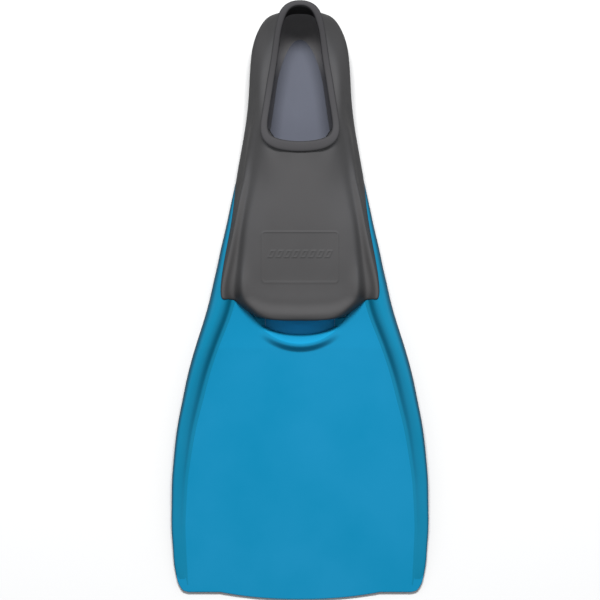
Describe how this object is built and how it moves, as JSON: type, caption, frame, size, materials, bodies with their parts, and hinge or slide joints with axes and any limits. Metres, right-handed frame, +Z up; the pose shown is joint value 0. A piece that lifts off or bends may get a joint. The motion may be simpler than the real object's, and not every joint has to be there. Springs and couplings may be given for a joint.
{
  "type": "swim fin",
  "caption": "Full-foot swimming training fin: a soft closed-heel foot pocket on a ribbed, flexible blade with a vent in front of the toes.",
  "frame": {"origin": "middle of the underside: half way between the blade tip and the heel, on the ground under the outsole", "axes": "+Z up, +Y towards the heel, X across the fin; the fin is symmetric about X = 0"},
  "size_m": [0.2406, 0.56, 0.0759],
  "materials": {
    "blade": "satin moulded plastic, bright blue",
    "rail": "satin thermoplastic rubber, blue",
    "plate": "matt moulded plastic, deeper blue",
    "pocket": "satin grey thermoplastic rubber",
    "rim": "satin grey thermoplastic rubber bead",
    "footbed": "matt pale blue-grey footbed",
    "tread": "matt grey tread rubber"
  },
  "bodies": {
    "root": {"blade_panel": "blade", "rail_left": "rail", "rail_right": "rail", "sole_plate": "plate", "foot_pocket": "pocket", "opening_rim": "rim", "insole": "footbed", "outsole": "tread"}
  },
  "joints": []
}
